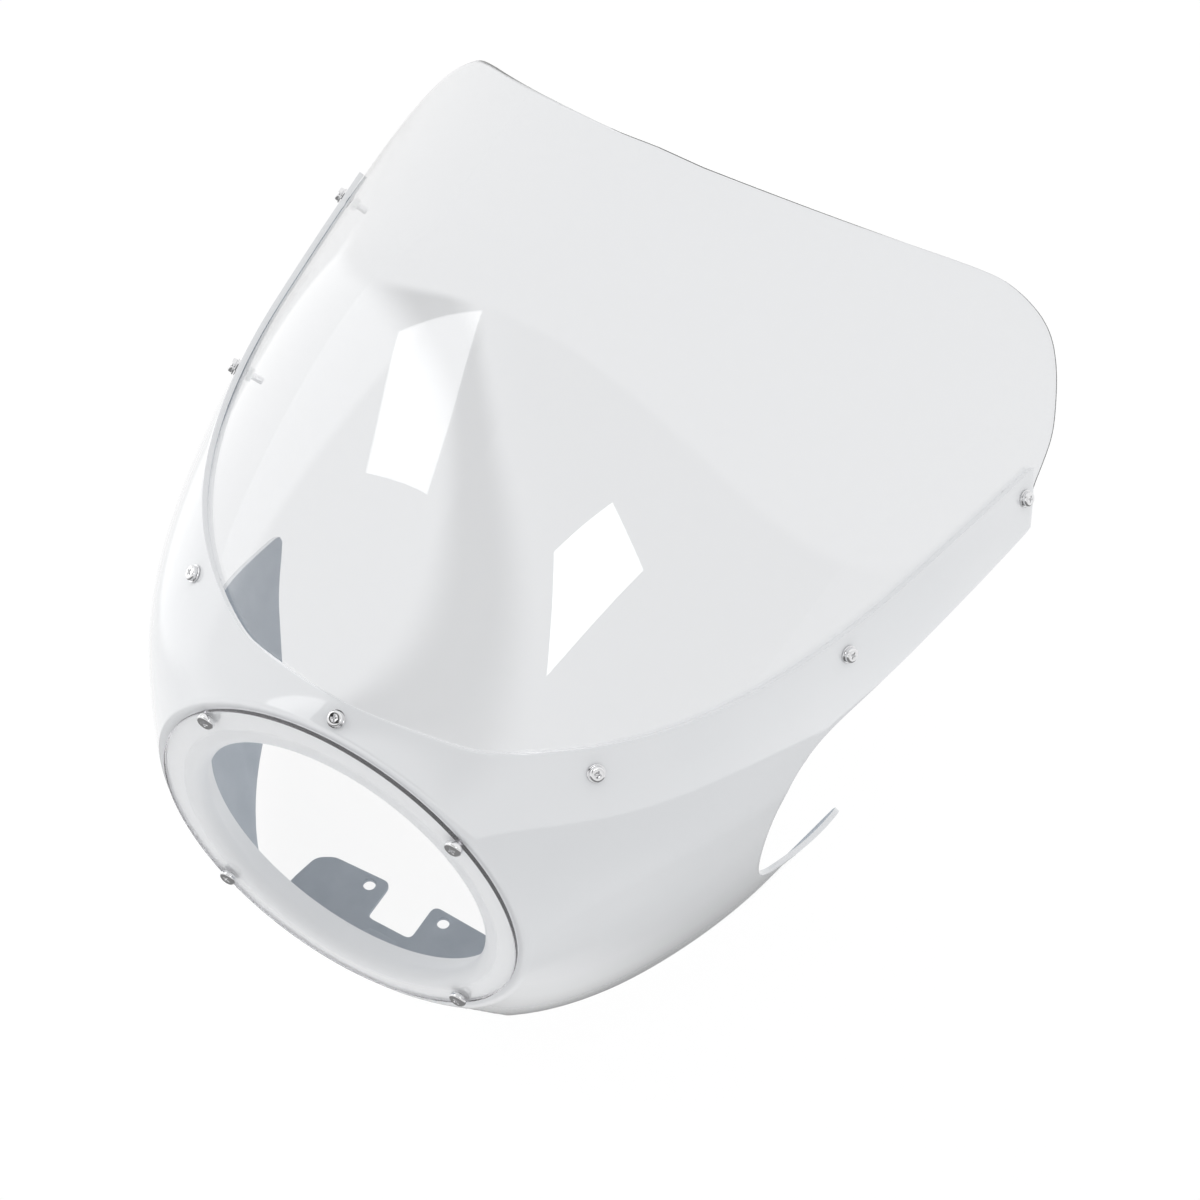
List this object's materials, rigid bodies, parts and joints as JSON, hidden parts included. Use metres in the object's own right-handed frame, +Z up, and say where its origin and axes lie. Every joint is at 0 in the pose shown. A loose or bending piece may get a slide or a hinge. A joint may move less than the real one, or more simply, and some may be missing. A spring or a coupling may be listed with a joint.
{
  "type": "headlight cowl",
  "caption": "Moulded motorbike headlight cowl: round lamp opening behind a flat clear cover, tall domed clear windscreen, arms and cheeks around fork notches, bolt tabs under the lamp.",
  "frame": {"origin": "midway between the two bolt holes of the tabs under the lamp, on the tabs' upper face", "axes": "-Y points to the front of the bike, where the lamp looks out, +Z up, +X to the left side of a rider looking forward"},
  "size_m": [0.4422, 0.413, 0.381],
  "materials": {
    "shell": "white gloss gel coat outside, plain grey-white moulding inside",
    "clear_screen": "clear polished sheet",
    "clear_cover": "clear polished sheet",
    "screws": "bright plated steel",
    "nuts": "white nylon"
  },
  "bodies": {
    "root": {"fairing_shell": "shell", "windscreen": "clear_screen", "lens_cover": "clear_cover", "screen_screws": "screws", "screen_washers": "screws", "screen_nuts": "nuts", "lens_screws": "screws", "lens_nuts": "nuts"}
  },
  "joints": []
}
